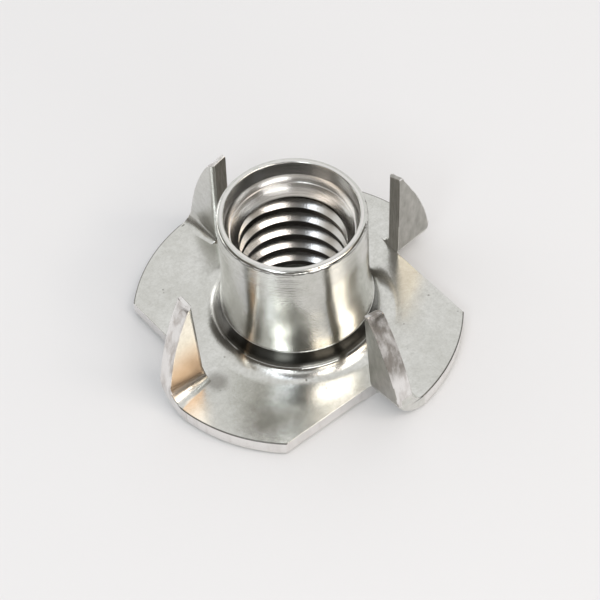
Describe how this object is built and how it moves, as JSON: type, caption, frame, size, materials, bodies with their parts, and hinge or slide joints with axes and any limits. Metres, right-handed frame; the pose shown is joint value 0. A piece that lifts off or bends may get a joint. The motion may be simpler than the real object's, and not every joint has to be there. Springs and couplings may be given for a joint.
{
  "type": "tee nut",
  "caption": "One-piece tee nut pressed from stainless sheet: a threaded barrel drawn up from a lobed flange, with prongs lanced and folded up around its edge to bite into wood.",
  "frame": {"origin": "centre of the flange's underside, on the axis of the barrel", "axes": "+Z along the barrel, from the flange up to the rim; +X and +Y each through a prong"},
  "size_m": [0.0254, 0.0254, 0.0125],
  "materials": {
    "stainless": "tumbled stainless steel: smooth and bright on the barrel, faintly pitted satin on the flange, duller on the sheared edges"
  },
  "bodies": {
    "root": {"tee_nut": "stainless"}
  },
  "joints": []
}
